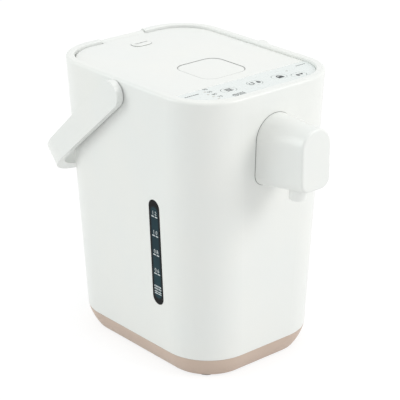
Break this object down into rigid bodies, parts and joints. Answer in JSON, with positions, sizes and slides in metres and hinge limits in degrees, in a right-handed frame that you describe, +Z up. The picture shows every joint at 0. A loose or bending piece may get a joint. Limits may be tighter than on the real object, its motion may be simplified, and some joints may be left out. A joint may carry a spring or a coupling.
{
  "type": "electric thermo pot",
  "caption": "Electric thermo pot: tapered housing with a base band, lift-up lid with a press button, front spout with nozzle, bail handle and water gauge on one side.",
  "frame": {"origin": "on the table under the middle of the housing; the underside lies 1.5 mm above it, on the feet", "axes": "+Z up, the spout looks along -Y, +X to the right of someone who faces the spout; the water gauge is on the -X side"},
  "size_m": [0.161, 0.2529, 0.235],
  "materials": {
    "shell_white": "satin",
    "panel_white": "satin",
    "key_white": "matte",
    "base_beige": "satin",
    "inner_grey": "matte",
    "dark_plastic": "matte",
    "nozzle_grey": "satin",
    "foot_rubber": "matte",
    "seal_rubber": "matte",
    "steel": "brushed",
    "bright_steel": "polished",
    "brass": "satin",
    "gauge_print": "gloss",
    "glass": "clear",
    "lamp": "gloss",
    "board_green": "satin",
    "mica": "matte",
    "jacket": "matte"
  },
  "bodies": {
    "pot": {"outer_shell": "shell_white", "base_cover": "base_beige", "rubber_feet": "foot_rubber", "base_screws": "steel", "top_frame": "inner_grey", "body_screws": "steel", "inner_container": "steel", "container_bottom": "steel", "container_seal": "seal_rubber", "clamp_ring": "steel", "insulation_jacket": "jacket", "heater_plate": "mica", "heater_clamp": "steel", "temperature_sensor": "dark_plastic", "thermal_fuse": "steel", "motor_cushion": "foot_rubber", "pump_motor": "steel", "pump_base": "inner_grey", "pump_casing": "inner_grey", "inlet_hose": "seal_rubber", "lower_hose": "seal_rubber", "gauge_joints": "seal_rubber", "gauge_tube": "glass", "gauge_window": "gauge_print", "gauge_channel": "dark_plastic", "upper_hose": "seal_rubber", "spout_cover": "shell_white", "outlet_nozzle": "nozzle_grey", "handle_bushes": "inner_grey", "hinge_pin": "bright_steel", "control_panel": "panel_white", "indicator_lamps": "lamp", "control_board": "board_green", "key_switches": "dark_plastic", "board_screws": "steel", "power_board": "board_green", "board_components": "dark_plastic", "plug_socket": "dark_plastic", "socket_pins": "brass", "socket_magnets": "steel"},
    "lid": {"lid_cover": "shell_white", "lid_body": "inner_grey", "lid_screws": "steel", "lid_gasket": "seal_rubber", "inner_lid_plate": "steel", "plate_screw": "steel", "steam_duct": "inner_grey", "steam_cap": "shell_white", "button_spring": "bright_steel"},
    "button": {"lid_button": "shell_white"},
    "latch": {"latch_bolt": "inner_grey"},
    "ball": {"safety_ball": "bright_steel"},
    "handle": {"handle_bow": "shell_white", "handle_retainers": "inner_grey"},
    "select_key": {"key_select": "key_white"},
    "reboil_key": {"key_reboil": "key_white"},
    "unlock_key": {"key_unlock": "key_white"},
    "dispense_key": {"key_dispense": "key_white"},
    "impeller": {"motor_shaft": "bright_steel", "pump_impeller": "inner_grey"}
  },
  "joints": [
    {"name": "lid_hinge", "type": "hinge", "parent": "pot", "child": "lid", "pos_m": [0, 0.0915, 0.2315], "axis": [-1, 0, 0], "range_deg": [0, 75]},
    {"name": "lid_press", "type": "slide", "parent": "lid", "child": "button", "axis": [0, 0, -1], "range_m": [0, 0.003], "stiffness_N_per_m": 600, "springref_m": -0.003, "deforming": ["button_spring"]},
    {"name": "latch_slide", "type": "slide", "parent": "lid", "child": "latch", "axis": [0, 1, 0], "range_m": [0, 0.003]},
    {"name": "ball_slide", "type": "slide", "parent": "lid", "child": "ball", "axis": [0, 0, 1], "range_m": [0, 0.006]},
    {"name": "handle_swing", "type": "hinge", "parent": "pot", "child": "handle", "pos_m": [0, 0.0057, 0.2223], "axis": [1, 0, 0], "range_deg": [0, 215]},
    {"name": "select_press", "type": "slide", "parent": "pot", "child": "select_key", "axis": [0, 0, -1], "range_m": [0, 0.0006], "stiffness_N_per_m": 500, "springref_m": -0.001},
    {"name": "reboil_press", "type": "slide", "parent": "pot", "child": "reboil_key", "axis": [0, 0, -1], "range_m": [0, 0.0006], "stiffness_N_per_m": 500, "springref_m": -0.001},
    {"name": "unlock_press", "type": "slide", "parent": "pot", "child": "unlock_key", "axis": [0, 0, -1], "range_m": [0, 0.0006], "stiffness_N_per_m": 500, "springref_m": -0.001},
    {"name": "dispense_press", "type": "slide", "parent": "pot", "child": "dispense_key", "axis": [0, 0, -1], "range_m": [0, 0.0006], "stiffness_N_per_m": 500, "springref_m": -0.001},
    {"name": "pump_spin", "type": "hinge", "parent": "pot", "child": "impeller", "pos_m": [0.012, -0.06, 0.02], "axis": [0, 0, 1], "continuous": true}
  ],
  "couplings": [
    {"joint": "latch_slide", "follows": "lid_press", "ratio": 1}
  ]
}
